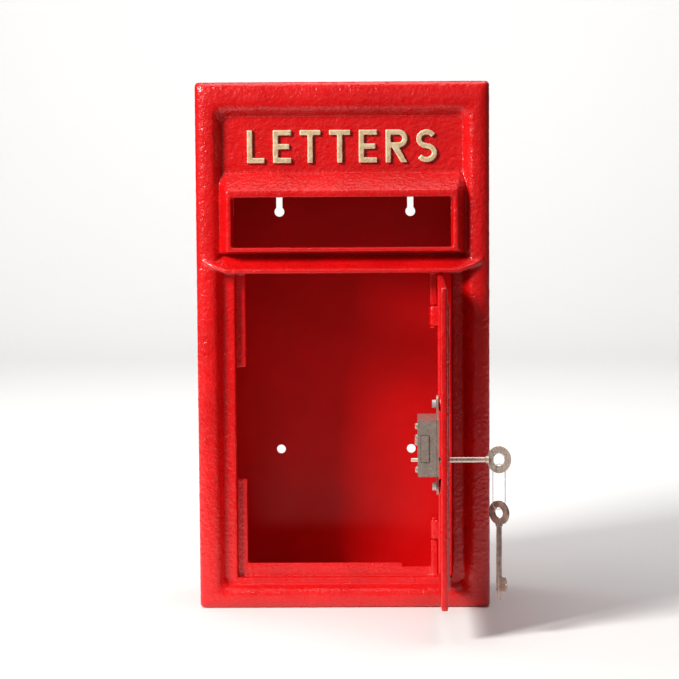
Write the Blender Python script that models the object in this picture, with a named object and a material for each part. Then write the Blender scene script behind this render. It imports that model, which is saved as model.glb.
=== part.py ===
"""Wall mounted mailbox: a cast front on a folded steel box, with a hinged door.

Frame: +X to the right, +Y into the wall, +Z up, in metres. The origin is the centre
of the steel box's rear face, which lies on the wall. The door stands open, square to
the front, with its lock retracted and the key in it.
"""
import math

import bmesh
import bpy
from mathutils import Matrix, Vector

MM = 0.001

# ---- overall sizes ----
FRONT_WIDTH = 320 * MM
FRONT_HEIGHT = 578 * MM
CREST_DEPTH = 158 * MM          # wall to the highest line of the border moulding
HOOD_PROJECTION = 12 * MM       # hood front beyond that line

# ---- border moulding and face plate of the cast front ----
SIDE_BORDER = 28 * MM
TOP_BORDER = 37 * MM
BOTTOM_BORDER = 25.5 * MM
PANEL_RECESS = 12 * MM          # crest line to the face plate
PLATE_THICKNESS = 5 * MM
SKIRT_DEPTH = 34 * MM
SKIRT_WALL = 5 * MM
OUTER_CORNER_RADIUS = 4 * MM
INNER_CORNER_RADIUS = 10 * MM
CORNER_STEPS = 4
BORDER_SHOULDER = 8.5 * MM      # flat side of the border below its rounding
CREST_SHARE = 0.5               # crest line's place across the side border
CREST_STEPS = 6
COVE_STEPS = 8
COVE_REACH = 1.4                # these two shape the slope from the crest to the panel
COVE_FALL = 1.2

# ---- hood and posting slot ----
SLOT_WIDTH = 241 * MM
SLOT_BOTTOM = 399 * MM
SLOT_HEIGHT = 54.5 * MM
SLOT_DRAFT = 3.3 * MM
SLOT_NECK = 12 * MM
HOOD_LIP = 5 * MM               # front strip beside the slot
HOOD_TOP_LIP = 7 * MM
HOOD_SILL = 4 * MM
HOOD_SPLAY = 11 * MM            # how much wider each side is at the face plate
HOOD_TOP_SPLAY = 19.5 * MM
HOOD_SILL_SPLAY = 4.5 * MM
HOOD_CORNER_CUT = 8 * MM
HOOD_FRONT_CUT = 1 * MM
HOOD_WALL = 5 * MM
HOLLOW_SILL_SHARE = 0.5         # how far the hollow follows the sill's slope
HOLLOW_TOP_WALL = 2 * MM

# ---- ledge between the slot and the door ----
LEDGE_TOP = 391.5 * MM
LEDGE_BOTTOM = 370.5 * MM
LEDGE_PROJECTION = 10 * MM
LEDGE_NOSE = 5 * MM
LEDGE_LIP = 1.5 * MM            # bevel above and below the nose
LEDGE_END = 153 * MM            # half width over the ends
LEDGE_END_TAPER = 9 * MM
LEDGE_END_BLEND = 17 * MM
LEDGE_END_RISE = 11 * MM
LEDGE_SHOULDER_RISE = 6.5 * MM
LEDGE_SHOULDER_SHARE = 0.55     # projection left at the shoulder

# ---- door opening with its stop flanges ----
OPENING_HALF_WIDTH = 118.5 * MM
OPENING_BOTTOM = 32.5 * MM
OPENING_TOP = 369.5 * MM
RETURN_WALL = 4.5 * MM
RETURN_DEPTH = 8 * MM           # return wall behind the face plate
STOP_GAP = 1.5 * MM             # closed door to the stops
STOP_THICKNESS = 3.5 * MM
SIDE_STOP_WIDTH = 11.5 * MM
BOTTOM_STOP_HEIGHT = 15 * MM
BOTTOM_STOP_LOW_HEIGHT = 10.3 * MM
BOTTOM_STOP_STEP_X = 64 * MM
LOCK_NOTCH_BOTTOM = 142 * MM
LOCK_NOTCH_TOP = 265.5 * MM
KEEP_INSET = 0.5 * MM
KEEP_GAP = 0.5 * MM             # thrown bolt to the keep behind the return wall

# ---- hinge ----
HINGE_X = 99.3 * MM
HINGE_SETBACK = 10.5 * MM       # door's outer face to the hinge axis
HINGE_PIN_RADIUS = 2.5 * MM
HINGE_FIT = 0.1 * MM
PIN_HEAD_RADIUS = 4 * MM
PIN_HEAD_HEIGHT = 2 * MM
LUG_WIDTH = 8 * MM
LUG_DEPTH = 9 * MM
LUG_HEIGHT = 36 * MM
LOWER_LUG_EXTRA = 4 * MM        # how much taller the lower lug is
KNUCKLE_RADIUS = 5 * MM
KNUCKLE_HEIGHT = 22 * MM
KNUCKLE_GAP = 1 * MM
PIN_BITE = 28 * MM              # length of pin held in its lug
PIN_END_GAP = 0.5 * MM
DOOR_OPEN_ANGLE = math.radians(90)

# ---- door ----
DOOR_GAP = 1.5 * MM
DOOR_PLATE = 4 * MM
DOOR_RIM_HEIGHT = 3.2 * MM
DOOR_RIM_WIDTH = 5 * MM
DOOR_RIM_STOP = 85 * MM
DOOR_EDGE_BEVEL = 2.2 * MM
BEAD_INSET = 18 * MM
BEAD_WIDTH = 9 * MM
BEAD_HEIGHT = 2.5 * MM
ESCUTCHEON_RADIUS = 13 * MM
ESCUTCHEON_HEIGHT = 2 * MM
LOCK_BOSS_RADIUS = 7.5 * MM
LOCK_BOSS_FLOOR = 1.5 * MM      # metal left under the screw hole, from the outer face
RIB_HEIGHT = 3 * MM
RIB_WIDTH = 6 * MM
RIB_X = 66 * MM

# ---- folded steel box ----
SHEET = 1.2 * MM
BOX_CLEARANCE = 1 * MM
BOX_LIP = 14 * MM               # inward lip behind the face plate
BOX_CORNER = 5 * MM
TOUCH_GAP = 0.3 * MM
KEYHOLE_SPACING = 150 * MM
KEYHOLE_Z = 430.5 * MM
KEYHOLE_RADIUS = 5.6 * MM
KEYHOLE_SLOT_WIDTH = 7 * MM
KEYHOLE_SLOT_LENGTH = 17 * MM
WALL_HOLE_Z = 156.5 * MM
WALL_HOLE_RADIUS = 5 * MM

# ---- screws that hold the box in the front ----
BOX_SCREW_RADIUS = 2.5 * MM
BOX_SCREW_HEAD = 4.7 * MM
BOX_SCREW_HEAD_HEIGHT = 3 * MM
BOX_SCREW_BITE = 10 * MM
BOX_SCREW_INSET = 13 * MM
BOX_SCREW_END = 30 * MM
SCREW_FIT = 0.15 * MM
SCREW_SLOT_WIDTH = 1.2 * MM
SCREW_SLOT_DEPTH = 1.2 * MM

# ---- rim lock: depths are measured from the door's outer face ----
LOCK_WIDTH = 60 * MM
LOCK_HEIGHT = 58 * MM
LOCK_DEPTH = 19 * MM
LOCK_WALL = 1.5 * MM
LOCK_STANDOFF = 9.1 * MM
LOCK_COVER = 2 * MM
LOCK_EDGE_INSET = 4 * MM        # lock end to the door's free edge
LOCK_Z = 202.5 * MM
EAR_RADIUS = 9 * MM
EAR_REACH = 14 * MM
EAR_HOLE_RADIUS = 2.4 * MM
EAR_SLOT = 4 * MM
LOCK_SCREW_RADIUS = 2 * MM
LOCK_SCREW_HEAD = 4.2 * MM
LOCK_SCREW_HEAD_HEIGHT = 4 * MM
POST_RADIUS = 2 * MM
POST_FIT = 0.15 * MM
POST_HEAD = 3.4 * MM
POST_HEAD_HEIGHT = 2.6 * MM
GUIDE_POST = (-9 * MM, 9 * MM)          # each post from the lock's centre, x then z
LEVER_POST = (22 * MM, 0 * MM)
UPPER_RIVET = (-22 * MM, 22.5 * MM)
LOWER_RIVET = (-22 * MM, -22.5 * MM)

# ---- bolt and levers ----
BOLT_HEIGHT = 27.5 * MM
BOLT_THICKNESS = 8 * MM
BOLT_PROUD = 1 * MM
BOLT_HEAD_LENGTH = 14 * MM
BOLT_TAIL = 2.5 * MM
BOLT_TAIL_LENGTH = 35 * MM
BOLT_TRAVEL = 14 * MM
BOLT_FIT = 0.4 * MM
BOLT_BACK_GAP = 1.5 * MM
TALON_MARGIN = 0.7 * MM
TALON_BITE = 2.5 * MM           # how far the bit reaches into the tail
STUMP_SIZE = 2 * MM
STUMP_FORWARD = 11 * MM         # stump to the key axis, away from the bolt's end
STUMP_RISE = 15.8 * MM          # stump above the key axis
LEVER_COUNT = 3
LEVER_THICKNESS = 2 * MM
LEVER_PITCH = 2.7 * MM
LEVER_START = 2.5 * MM          # first lever from the cover's inner face
LEVER_HEIGHT = 8.6 * MM
LEVER_REACH = 29.5 * MM
LEVER_EYE = 5.2 * MM
LEVER_BAR = 1.2 * MM
WINDOW_SLACK = 1.5 * MM
SPRING_THICKNESS = 0.6 * MM
SPRING_RISE = 14 * MM
SPRING_REACH = 27 * MM
SPRING_FOOT = 4 * MM
SPRING_STEPS = 10
SPRING_CURVE = 1.6

# ---- keys and their wire ring ----
KEY_DROP = 15.5 * MM            # key axis below the lock's centre
KEY_OUT = 53.6 * MM             # bow centre from the door's outer face
KEY_LENGTH = 91 * MM            # bow centre to tip
KEY_SHANK_RADIUS = 2.9 * MM
KEY_TIP_RADIUS = 2 * MM
KEY_TIP_LENGTH = 9.5 * MM
KEY_FIT = 0.5 * MM
BIT_LENGTH = 14.5 * MM
BIT_RADIUS = 10.5 * MM
BIT_THICKNESS = 2.4 * MM
BIT_WARD_WIDTH = 1.4 * MM
BIT_WARD_DEPTH = 3 * MM
BOW_LENGTH = 25 * MM
BOW_HEIGHT = 28 * MM
BOW_HOLE_LENGTH = 11.4 * MM
BOW_HOLE_HEIGHT = 13.5 * MM
BOW_THICKNESS = 2.5 * MM
COLLAR_RADIUS = 3.8 * MM
COLLAR_LENGTH = 3 * MM
RING_WIRE_RADIUS = 0.4 * MM
RING_HALF_WIDTH = 7.5 * MM
RING_SEAT = 2.2 * MM            # wire centre to the edge of a bow's hole
RING_LENGTH = 47.4 * MM
RING_STEPS = 14
RING_TWIST = math.radians(-60)
SPARE_TWIST = math.radians(-48)

# ---- raised lettering ----
LETTER_TEXT = "LETTERS"
LETTER_BOTTOM = 490 * MM
LETTER_HEIGHT = 36 * MM
LETTER_ROW = 207 * MM           # length of the whole word
LETTER_STROKE = 5.8 * MM
LETTER_RELIEF = 3.5 * MM
LETTER_WIDTHS = {"L": 19 * MM, "E": 20 * MM, "T": 23 * MM, "R": 24 * MM, "S": 23 * MM}
LETTER_STEPS = 10
R_WAIST = 0.45                  # height of the R's bowl and width of its leg
R_LEG = 1.2
R_BOWL_START = -86              # degrees, where the leg leaves the bowl
S_END = 30                      # degrees, where the S's strokes end
S_SWEEP = 240

# ---- modelling margins ----
OVERLAP = 1 * MM                # how far joined shapes run into each other
NUDGE = 0.1 * MM                # keeps faces of joined shapes out of one plane
CUT_MARGIN = 5 * MM             # how far a cutter runs past the metal
ROUND_SIDES = 24
BOW_SIDES = 40
WIRE_SIDES = 8
SMOOTH_ANGLE = math.radians(35)

# ---- derived levels ----
BASE_Z = -FRONT_HEIGHT / 2
HALF_WIDTH = FRONT_WIDTH / 2
CREST_Y = -CREST_DEPTH
PANEL_Y = CREST_Y + PANEL_RECESS
PLATE_BACK_Y = PANEL_Y + PLATE_THICKNESS
HOOD_FRONT_Y = CREST_Y - HOOD_PROJECTION
RETURN_Y = PLATE_BACK_Y + RETURN_DEPTH
STOP_Y = PANEL_Y + DOOR_PLATE + DOOR_RIM_HEIGHT + STOP_GAP
HINGE_Y = PANEL_Y + HINGE_SETBACK
DOOR_LOW = OPENING_BOTTOM + DOOR_GAP
DOOR_HIGH = OPENING_TOP - DOOR_GAP
DOOR_SIDE = OPENING_HALF_WIDTH - DOOR_GAP
LOCK_FREE_X = -DOOR_SIDE + LOCK_EDGE_INSET
LOCK_X = LOCK_FREE_X + LOCK_WIDTH / 2
KEY_Z = LOCK_Z - KEY_DROP
COVER_Y = PANEL_Y + LOCK_STANDOFF
CASE_Y = COVER_Y + LOCK_COVER + TOUCH_GAP
CASE_BACK_Y = CASE_Y + LOCK_DEPTH
CASE_FLOOR_Y = CASE_BACK_Y - LOCK_WALL
BOLT_BACK_Y = CASE_FLOOR_Y - BOLT_BACK_GAP
BOLT_FRONT_Y = BOLT_BACK_Y - BOLT_THICKNESS
TALON_HEIGHT = BIT_RADIUS - TALON_BITE  # tail's lower edge above the key axis
BOX_FRONT_Y = PLATE_BACK_Y + TOUCH_GAP
BOX_HALF_WIDTH = HALF_WIDTH - SKIRT_WALL - BOX_CLEARANCE
BOX_LOW = SKIRT_WALL + BOX_CLEARANCE
BOX_HIGH = FRONT_HEIGHT - SKIRT_WALL - BOX_CLEARANCE
UPPER_LUG_LOW = OPENING_TOP - LUG_HEIGHT
LOWER_LUG_HIGH = OPENING_BOTTOM + LUG_HEIGHT + LOWER_LUG_EXTRA


# ---- scene and mesh helpers ----

def clear_scene():
    """Remove every object, so that only the model is left."""
    for item in list(bpy.data.objects):
        bpy.data.objects.remove(item, do_unlink=True)


def finish_material(name, colour, roughness, metallic):
    """One Principled material."""
    material = bpy.data.materials.new(name)
    material.use_nodes = True
    shader = material.node_tree.nodes["Principled BSDF"]
    shader.inputs["Base Color"].default_value = (*colour, 1.0)
    shader.inputs["Roughness"].default_value = roughness
    shader.inputs["Metallic"].default_value = metallic
    material.diffuse_color = (*colour, 1.0)
    return material


def point(x, y, z):
    """A point whose z is counted up from the bottom edge of the front."""
    return Vector((x, y, BASE_Z + z))


def link(name, bm):
    """Turn a bmesh into an object of the scene."""
    bmesh.ops.recalc_face_normals(bm, faces=bm.faces)
    mesh = bpy.data.meshes.new(name)
    bm.to_mesh(mesh)
    bm.free()
    item = bpy.data.objects.new(name, mesh)
    bpy.context.scene.collection.objects.link(item)
    return item


def loft(name, rings, looped=False):
    """Skin a row of point rings; capped at both ends unless the row closes on itself."""
    bm = bmesh.new()
    loops = [[bm.verts.new(p) for p in ring] for ring in rings]
    count = len(rings[0])
    pairs = list(zip(loops, loops[1:]))
    if looped:
        pairs.append((loops[-1], loops[0]))
    for near, far in pairs:
        for i in range(count):
            j = (i + 1) % count
            bm.faces.new((near[i], near[j], far[j], far[i]))
    if not looped:
        bm.faces.new(list(reversed(loops[0])))
        bm.faces.new(loops[-1])
    return link(name, bm)


def block(name, xs, ys, zs):
    """A box between two values of x, y and z."""
    corners = [(0, 0), (1, 0), (1, 1), (0, 1)]
    rings = [[point(xs[i], y, zs[j]) for i, j in corners] for y in ys]
    return loft(name, rings)


def slab(name, outline, y_low, y_high):
    """An outline of (x, z) points extruded along y."""
    return loft(name, [[point(x, y, z) for x, z in outline] for y in (y_low, y_high)])


def arc(cx, cz, radius, start, end, steps):
    """Points of a circular arc, angles in degrees, both ends included."""
    points = []
    for step in range(steps + 1):
        angle = math.radians(start + (end - start) * step / steps)
        points.append((cx + radius * math.cos(angle), cz + radius * math.sin(angle)))
    return points


def disc(cx, cz, radius, sides=ROUND_SIDES):
    """Points of a full circle."""
    return arc(cx, cz, radius, 0, 360 - 360 / sides, sides - 1)


def rod_y(name, x, z, stations, sides=ROUND_SIDES):
    """A turned shape along y from (y, radius) stations."""
    rings = [[point(px, y, pz) for px, pz in disc(x, z, r, sides)] for y, r in stations]
    return loft(name, rings)


def rod_z(name, x, y, stations, sides=ROUND_SIDES):
    """A turned shape along z from (z, radius) stations."""
    rings = [[point(px, py, z) for px, py in disc(x, y, r, sides)] for z, r in stations]
    return loft(name, rings)


def combine(target, tools, operation):
    """Join or cut with each tool in turn, then drop the tools."""
    for tool in tools:
        modifier = target.modifiers.new("combine", "BOOLEAN")
        modifier.operation = operation
        modifier.solver = "EXACT"
        modifier.object = tool
        depsgraph = bpy.context.evaluated_depsgraph_get()
        result = bpy.data.meshes.new_from_object(target.evaluated_get(depsgraph))
        target.modifiers.clear()
        target.data = result
        bpy.data.objects.remove(tool, do_unlink=True)
    return target


def join(target, *tools):
    """Union."""
    return combine(target, tools, "UNION")


def cut(target, *tools):
    """Difference."""
    return combine(target, tools, "DIFFERENCE")


def dress(item, material, pivot=None):
    """Give a piece its material and shading, and hang it on its pivot."""
    item.data.name = item.name
    item.data.materials.clear()
    item.data.materials.append(material)
    item.data.shade_smooth()
    item.data.set_sharp_from_angle(angle=SMOOTH_ANGLE)
    if pivot is not None:
        item.data.transform(Matrix.Translation(-Vector(pivot["closed_place"])))
        item.parent = pivot
    return item


def make_pivot(name, place, parent=None):
    """An empty on a joint's axis; place is where it is with the door closed."""
    pivot = bpy.data.objects.new(name, None)
    bpy.context.scene.collection.objects.link(pivot)
    pivot["closed_place"] = tuple(place)
    pivot.location = place
    if parent is not None:
        pivot.parent = parent
        pivot.location = place - Vector(parent["closed_place"])
    return pivot


# ---- cast front ----

def border_ring(inset, depth):
    """A rounded rectangle; inset is the side's, and top and bottom follow their own widths."""
    blend = max(inset - SKIRT_WALL, 0) / (SIDE_BORDER - SKIRT_WALL)
    top = inset + blend * (TOP_BORDER - SIDE_BORDER)
    bottom = inset + blend * (BOTTOM_BORDER - SIDE_BORDER)
    share = min(inset / SIDE_BORDER, 1)
    radius = OUTER_CORNER_RADIUS + share * (INNER_CORNER_RADIUS - OUTER_CORNER_RADIUS)
    right = HALF_WIDTH - inset - radius
    low = bottom + radius
    high = FRONT_HEIGHT - top - radius
    corners = [(right, high, 0), (-right, high, 90), (-right, low, 180), (right, low, 270)]
    outline = []
    for cx, cz, start in corners:
        outline += arc(cx, cz, radius, start, start + 90, CORNER_STEPS)
    return [point(x, CREST_Y + depth, z) for x, z in outline]


def border_profile():
    """The moulding's (inset, depth) points, from the skirt's outer edge to the panel."""
    rise = [(0, SKIRT_DEPTH), (0, BORDER_SHOULDER)]
    crest = SIDE_BORDER * CREST_SHARE
    for step in range(1, CREST_STEPS + 1):
        angle = math.radians(90 * step / CREST_STEPS)
        rise.append((crest * (1 - math.cos(angle)), BORDER_SHOULDER * (1 - math.sin(angle))))
    for step in range(1, COVE_STEPS + 1):
        share = step / COVE_STEPS
        inset = crest + (SIDE_BORDER - crest) * share
        fall = 1 - math.cos(math.pi / 2 * share ** COVE_REACH)
        rise.append((inset, PANEL_RECESS * fall ** COVE_FALL))
    return rise


def front_shell():
    """The tray-like body: skirt, border moulding and face plate."""
    rings = [border_ring(SKIRT_WALL, PANEL_RECESS + PLATE_THICKNESS)]
    rings.append(border_ring(SKIRT_WALL, SKIRT_DEPTH))
    rings += [border_ring(inset, depth) for inset, depth in border_profile()]
    return loft("front_casting", rings)


def hood_outline(half_width, low, high, corner):
    """The hood's outline, with its upper corners cut."""
    return [(-half_width, low), (half_width, low), (half_width, high - corner),
            (half_width - corner, high), (-half_width + corner, high), (-half_width, high - corner)]


def tapered(name, near, near_y, far, far_y):
    """A straight loft between two outlines at two depths."""
    return loft(name, [[point(x, y, z) for x, z in outline]
                       for outline, y in ((near, near_y), (far, far_y))])


def hood_solid():
    """The splayed block that frames the slot, run a little into the plate."""
    run = (PANEL_Y + OVERLAP - HOOD_FRONT_Y) / (PANEL_Y - HOOD_FRONT_Y)
    half = SLOT_WIDTH / 2 + HOOD_LIP
    low = SLOT_BOTTOM - HOOD_SILL
    high = SLOT_BOTTOM + SLOT_HEIGHT + HOOD_TOP_LIP
    near = hood_outline(half, low, high, HOOD_FRONT_CUT)
    far = hood_outline(half + HOOD_SPLAY * run, low - HOOD_SILL_SPLAY * run,
                       high + HOOD_TOP_SPLAY * run, HOOD_CORNER_CUT)
    return tapered("hood", near, HOOD_FRONT_Y, far, PANEL_Y + OVERLAP)


def hood_hollow():
    """The space behind the slot's neck, which follows the hood's slopes inside."""
    start = HOOD_FRONT_Y + SLOT_NECK - OVERLAP
    end = PLATE_BACK_Y + CUT_MARGIN
    span = PANEL_Y - HOOD_FRONT_Y

    def section(y):
        run = (y - HOOD_FRONT_Y) / span
        half = SLOT_WIDTH / 2 + HOOD_LIP - HOOD_WALL + HOOD_SPLAY * run
        low = SLOT_BOTTOM - HOOD_SILL_SPLAY * run * HOLLOW_SILL_SHARE
        high = SLOT_BOTTOM + SLOT_HEIGHT + HOOD_TOP_SPLAY * run - HOLLOW_TOP_WALL
        return hood_outline(half, low, high, HOOD_CORNER_CUT * run)

    return tapered("hood_hollow", section(start), start, section(end), end)


def slot_cutter():
    """The slot's neck, narrower inside than at the front."""
    start = HOOD_FRONT_Y - CUT_MARGIN
    end = HOOD_FRONT_Y + SLOT_NECK
    slope = SLOT_DRAFT / SLOT_NECK
    rings = []
    for y in (start, end):
        half = SLOT_WIDTH / 2 - slope * (y - HOOD_FRONT_Y)
        low = SLOT_BOTTOM
        high = SLOT_BOTTOM + SLOT_HEIGHT
        outline = [(-half, low), (half, low), (half, high), (-half, high)]
        rings.append([point(x, y, z) for x, z in outline])
    return loft("slot_cutter", rings)


def ledge_section(x, share, rise):
    """The ledge's side outline at x; share scales its projection, rise lifts its nose."""
    back = PANEL_Y + OVERLAP
    nose = CREST_Y - LEDGE_PROJECTION * share
    nose_top = LEDGE_BOTTOM + LEDGE_NOSE + rise
    low = LEDGE_BOTTOM + rise
    lip = LEDGE_LIP
    return [point(x, back, LEDGE_TOP), point(x, nose + lip, nose_top), point(x, nose, nose_top - lip),
            point(x, nose, low + lip), point(x, nose + lip, low), point(x, back, low)]


def ledge_solid():
    """The cornice above the door, tapering to both sides of the border."""
    stations = [(LEDGE_END, 0.0, LEDGE_END_RISE),
                (LEDGE_END - LEDGE_END_TAPER, LEDGE_SHOULDER_SHARE, LEDGE_SHOULDER_RISE),
                (LEDGE_END - LEDGE_END_TAPER - LEDGE_END_BLEND, 1.0, 0.0)]
    left = [(-x, share, rise) for x, share, rise in stations]
    rings = [ledge_section(*station) for station in left + stations[::-1]]
    return loft("ledge", rings)


def stroke(path, width):
    """The outline of a line of the given width along a path of points."""
    left, right = [], []
    for index, here in enumerate(path):
        before = Vector(path[max(index - 1, 0)])
        after = Vector(path[min(index + 1, len(path) - 1)])
        along = (after - before).normalized() * width / 2
        left.append((here[0] - along.y, here[1] + along.x))
        right.append((here[0] + along.y, here[1] - along.x))
    return left + right[::-1]


def letter_shape(letter):
    """Width, outline and hole of one plain capital, from its lower left corner."""
    width = LETTER_WIDTHS[letter]
    height, line = LETTER_HEIGHT, LETTER_STROKE
    hole = None
    if letter == "L":
        outline = [(0, 0), (width, 0), (width, line), (line, line), (line, height), (0, height)]
    elif letter == "E":
        arm = (height - 3 * line) / 2
        short = width - line / 3
        outline = [(0, 0), (width, 0), (width, line), (line, line), (line, line + arm), (short, line + arm),
                   (short, 2 * line + arm), (line, 2 * line + arm), (line, height - line),
                   (width, height - line), (width, height), (0, height)]
    elif letter == "T":
        left, right = (width - line) / 2, (width + line) / 2
        bar = height - line
        outline = [(left, 0), (right, 0), (right, bar), (width, bar), (width, height), (0, height),
                   (0, bar), (left, bar)]
    elif letter == "R":
        waist = height * R_WAIST
        bowl = (height - waist) / 2
        turn = width - bowl
        foot = line * R_LEG
        outline = [(0, 0), (line, 0), (line, waist), (turn - foot, waist), (width - foot, 0), (width, 0)]
        outline += arc(turn, waist + bowl, bowl, R_BOWL_START, 90, LETTER_STEPS) + [(0, height)]
        hole = [(line, waist + line)] + arc(turn, waist + bowl, bowl - line, -90, 90, LETTER_STEPS)
        hole.append((line, height - line))
    else:
        across = (width - line) / 2
        up = (height - line) / 4
        upper = arc(0, 0, 1, S_END, S_END + S_SWEEP, LETTER_STEPS)
        lower = arc(0, 0, 1, 90, 90 - S_SWEEP, LETTER_STEPS)[1:]
        path = [(width / 2 + across * x, height / 2 + up + up * z) for x, z in upper]
        path += [(width / 2 + across * x, height / 2 - up + up * z) for x, z in lower]
        outline = stroke(path, line)
    return width, outline, hole


def letter_solids():
    """The raised word on the top panel, a solid for each letter, evenly spaced."""
    shapes = [letter_shape(letter) for letter in LETTER_TEXT]
    gap = (LETTER_ROW - sum(width for width, _, _ in shapes)) / (len(shapes) - 1)
    letters = []
    left = -LETTER_ROW / 2
    near, far = PANEL_Y - LETTER_RELIEF, PANEL_Y + OVERLAP
    for width, outline, hole in shapes:
        placed = [(left + x, LETTER_BOTTOM + z) for x, z in outline]
        letter = slab("letter", placed, near, far)
        if hole:
            opening = [(left + x, LETTER_BOTTOM + z) for x, z in hole]
            cut(letter, slab("letter_hole", opening, near - OVERLAP, far + OVERLAP))
        letters.append(letter)
        left += width + gap
    return letters


def stop_flanges():
    """The stops behind the closed door, with a gap for the lock on the left."""
    side = (-OPENING_HALF_WIDTH - OVERLAP, -OPENING_HALF_WIDTH + SIDE_STOP_WIDTH)
    depth = (STOP_Y, STOP_Y + STOP_THICKNESS)
    low = OPENING_BOTTOM - OVERLAP
    return [
        block("side_stop_upper", side, depth, (LOCK_NOTCH_TOP, OPENING_TOP + OVERLAP)),
        block("side_stop_lower", side, depth, (low, LOCK_NOTCH_BOTTOM)),
        block("bottom_stop", (side[0], BOTTOM_STOP_STEP_X), depth,
              (low, OPENING_BOTTOM + BOTTOM_STOP_HEIGHT)),
        block("bottom_stop_low", (side[0], HINGE_X), depth,
              (low, OPENING_BOTTOM + BOTTOM_STOP_LOW_HEIGHT)),
    ]


def bolt_keep():
    """The deeper wall that the thrown bolt sits behind."""
    sides = (-OPENING_HALF_WIDTH - RETURN_WALL + KEEP_INSET, -OPENING_HALF_WIDTH - KEEP_INSET)
    depth = (RETURN_Y - OVERLAP, BOLT_FRONT_Y - KEEP_GAP)
    return block("bolt_keep", sides, depth, (LOCK_NOTCH_BOTTOM, LOCK_NOTCH_TOP))


def hinge_lug(name, low, high):
    """A post of the casting that holds one hinge pin."""
    xs = (HINGE_X - LUG_WIDTH / 2, HINGE_X + LUG_WIDTH / 2)
    ys = (HINGE_Y - LUG_DEPTH / 2, HINGE_Y + LUG_DEPTH / 2)
    return block(name, xs, ys, (low, high))


def box_screw_places():
    """Centres of the six screws that join box and front."""
    x = HALF_WIDTH - BOX_SCREW_INSET
    heights = (BOX_SCREW_END, FRONT_HEIGHT / 2, FRONT_HEIGHT - BOX_SCREW_END)
    return [(side * x, z) for side in (-1, 1) for z in heights]


def build_front(material):
    """The one-piece casting: border, panel, hood, ledge, door surround and lugs."""
    front = front_shell()
    bore = HINGE_PIN_RADIUS + HINGE_FIT
    surround = block("surround",
                     (-OPENING_HALF_WIDTH - RETURN_WALL, OPENING_HALF_WIDTH + RETURN_WALL),
                     (PLATE_BACK_Y - OVERLAP, RETURN_Y),
                     (OPENING_BOTTOM - RETURN_WALL, OPENING_TOP + RETURN_WALL))
    opening = block("opening", (-OPENING_HALF_WIDTH, OPENING_HALF_WIDTH),
                    (CREST_Y, RETURN_Y + CUT_MARGIN), (OPENING_BOTTOM, OPENING_TOP))
    join(front, hood_solid(), ledge_solid(), surround)
    cut(front, slot_cutter(), hood_hollow(), opening)
    join(front, *stop_flanges())
    join(front, bolt_keep(),
         hinge_lug("upper_lug", UPPER_LUG_LOW, OPENING_TOP + RETURN_WALL - OVERLAP),
         hinge_lug("lower_lug", OPENING_BOTTOM - RETURN_WALL + OVERLAP, LOWER_LUG_HIGH))
    cut(front,
        rod_z("upper_bore", HINGE_X, HINGE_Y,
              [(UPPER_LUG_LOW - CUT_MARGIN, bore), (UPPER_LUG_LOW + PIN_BITE + PIN_END_GAP, bore)]),
        rod_z("lower_bore", HINGE_X, HINGE_Y,
              [(LOWER_LUG_HIGH - PIN_BITE - PIN_END_GAP, bore), (LOWER_LUG_HIGH + CUT_MARGIN, bore)]))
    for x, z in box_screw_places():
        stations = [(PLATE_BACK_Y - BOX_SCREW_BITE - PIN_END_GAP, BOX_SCREW_RADIUS + SCREW_FIT),
                    (PLATE_BACK_Y + CUT_MARGIN, BOX_SCREW_RADIUS + SCREW_FIT)]
        cut(front, rod_y("screw_bore", x, z, stations))
    join(front, *letter_solids())
    return dress(front, material)


# ---- folded steel box ----

def keyhole_outline(x, z):
    """A round hole with a narrower slot above it."""
    half = KEYHOLE_SLOT_WIDTH / 2
    reach = math.degrees(math.asin(half / KEYHOLE_RADIUS))
    lower = arc(x, z, KEYHOLE_RADIUS, 90 + reach, 450 - reach, ROUND_SIDES)
    upper = arc(x, z + KEYHOLE_SLOT_LENGTH, half, 0, 180, ROUND_SIDES // 3)
    return lower + upper


def rounded_outline(half_width, low, high, radius):
    """A rectangle with rounded corners, as (x, z) points."""
    right = half_width - radius
    corners = [(right, high - radius, 0), (-right, high - radius, 90),
               (-right, low + radius, 180), (right, low + radius, 270)]
    outline = []
    for cx, cz, start in corners:
        outline += arc(cx, cz, radius, start, start + 90, CORNER_STEPS)
    return outline


def build_back_box(material):
    """The open steel box: back, four sides and an inward lip for the screws."""
    outer = rounded_outline(BOX_HALF_WIDTH, BOX_LOW, BOX_HIGH, BOX_CORNER)
    inner = rounded_outline(BOX_HALF_WIDTH - SHEET, BOX_LOW + SHEET, BOX_HIGH - SHEET, BOX_CORNER - SHEET)
    mouth = rounded_outline(BOX_HALF_WIDTH - BOX_LIP, BOX_LOW + BOX_LIP, BOX_HIGH - BOX_LIP, BOX_CORNER)
    box = slab("back_box", outer, BOX_FRONT_Y, 0)
    cut(box, slab("hollow", inner, BOX_FRONT_Y + SHEET, -SHEET),
        slab("mouth", mouth, BOX_FRONT_Y - CUT_MARGIN, BOX_FRONT_Y + CUT_MARGIN))
    for side in (-1, 1):
        x = side * KEYHOLE_SPACING / 2
        cut(box, slab("keyhole", keyhole_outline(x, KEYHOLE_Z), -CUT_MARGIN, CUT_MARGIN),
            slab("wall_hole", disc(x, WALL_HOLE_Z, WALL_HOLE_RADIUS), -CUT_MARGIN, CUT_MARGIN))
    for x, z in box_screw_places():
        hole = disc(x, z, BOX_SCREW_RADIUS + 2 * SCREW_FIT)
        cut(box, slab("lip_hole", hole, BOX_FRONT_Y - OVERLAP, BOX_FRONT_Y + SHEET + OVERLAP))
    return dress(box, material)


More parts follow.
